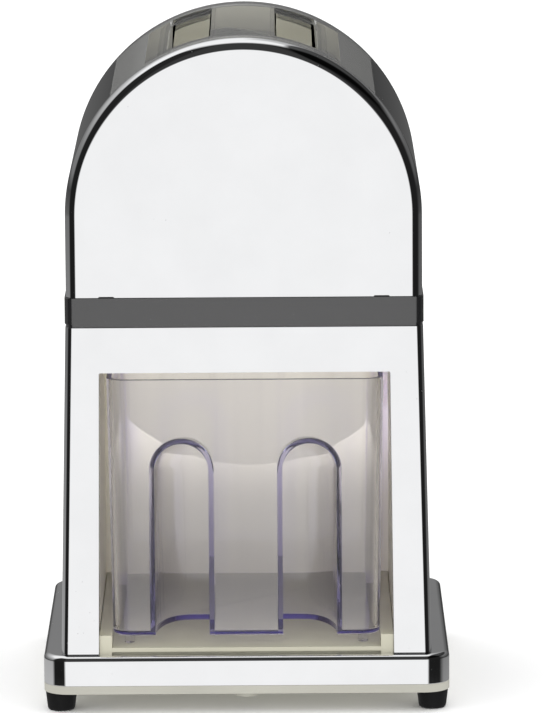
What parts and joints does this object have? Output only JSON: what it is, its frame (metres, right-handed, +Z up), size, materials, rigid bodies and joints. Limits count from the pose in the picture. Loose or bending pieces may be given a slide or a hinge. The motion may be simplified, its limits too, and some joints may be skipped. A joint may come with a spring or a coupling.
{
  "type": "hand crank ice crusher",
  "caption": "Arched chrome ice crusher with smoked lid, toothed rotor on a rear crank and a clear drawer with finger grooves.",
  "frame": {"origin": "under the middle of the housing, on the plane that the rubber feet stand on", "axes": "+Z up, +X to the right of the object, -Y towards the drawer front, +Y towards the crank"},
  "size_m": [0.158, 0.1789, 0.2639],
  "materials": {
    "chrome_shell": "mirror-bright plated sheet",
    "cream_plastic": "cream moulded plastic, slightly matte",
    "dark_band": "dark grey moulded plastic",
    "rubber_feet": "black rubber",
    "clear_plastic": "clear plastic, faintly violet at its edges",
    "smoke_plastic": "smoke-grey transparent plastic",
    "blade_steel": "stamped stainless steel",
    "shaft_steel": "turned steel",
    "bush_brass": "turned brass",
    "screw_steel": "zinc-plated steel screws",
    "crank_chrome": "chrome-plated cast metal",
    "black_knob": "black moulded plastic"
  },
  "bodies": {
    "housing": {"base_shell": "chrome_shell", "lower_housing": "chrome_shell", "upper_shell": "chrome_shell", "front_cover": "chrome_shell", "rear_cover": "chrome_shell", "base_pan": "cream_plastic", "bay_liner": "cream_plastic", "bay_tray": "cream_plastic", "hopper": "cream_plastic", "collar": "dark_band", "foot_front_left": "rubber_feet", "foot_front_right": "rubber_feet", "foot_rear_left": "rubber_feet", "foot_rear_right": "rubber_feet", "foot_screws": "screw_steel", "base_screws": "screw_steel", "housing_screws": "screw_steel", "cover_screws": "screw_steel", "hopper_screws": "screw_steel", "comb_screws_left": "screw_steel", "comb_screws_right": "screw_steel", "comb_left": "blade_steel", "comb_right": "blade_steel", "front_bush": "bush_brass", "rear_bush": "bush_brass"},
    "crank": {"drive_shaft": "shaft_steel", "shaft_clip": "shaft_steel", "crank_washer": "shaft_steel", "knob_pin": "shaft_steel", "rotor_blade_1": "blade_steel", "rotor_blade_2": "blade_steel", "rotor_blade_3": "blade_steel", "rotor_blade_4": "blade_steel", "rotor_blade_5": "blade_steel", "spacer_1": "shaft_steel", "spacer_2": "shaft_steel", "spacer_3": "shaft_steel", "spacer_4": "shaft_steel", "end_spacer_front": "shaft_steel", "end_spacer_rear": "shaft_steel", "crank_arm": "crank_chrome", "crank_cap": "crank_chrome", "crank_screw": "screw_steel"},
    "knob": {"crank_knob": "black_knob"},
    "drawer": {"drawer": "clear_plastic"},
    "lid": {"top_lid": "smoke_plastic"}
  },
  "joints": [
    {"name": "crank_turn", "type": "hinge", "parent": "housing", "child": "crank", "pos_m": [0, 0, 0.1952], "axis": [0, 1, 0], "continuous": true},
    {"name": "knob_spin", "type": "hinge", "parent": "crank", "child": "knob", "pos_m": [0, 0.093, 0.1212], "axis": [0, 1, 0], "continuous": true},
    {"name": "drawer_slide", "type": "slide", "parent": "housing", "child": "drawer", "axis": [0, -1, 0], "range_m": [0, 0.12]},
    {"name": "lid_lift", "type": "slide", "parent": "housing", "child": "lid", "axis": [0, 0, 1], "range_m": [0, 0.07]}
  ]
}
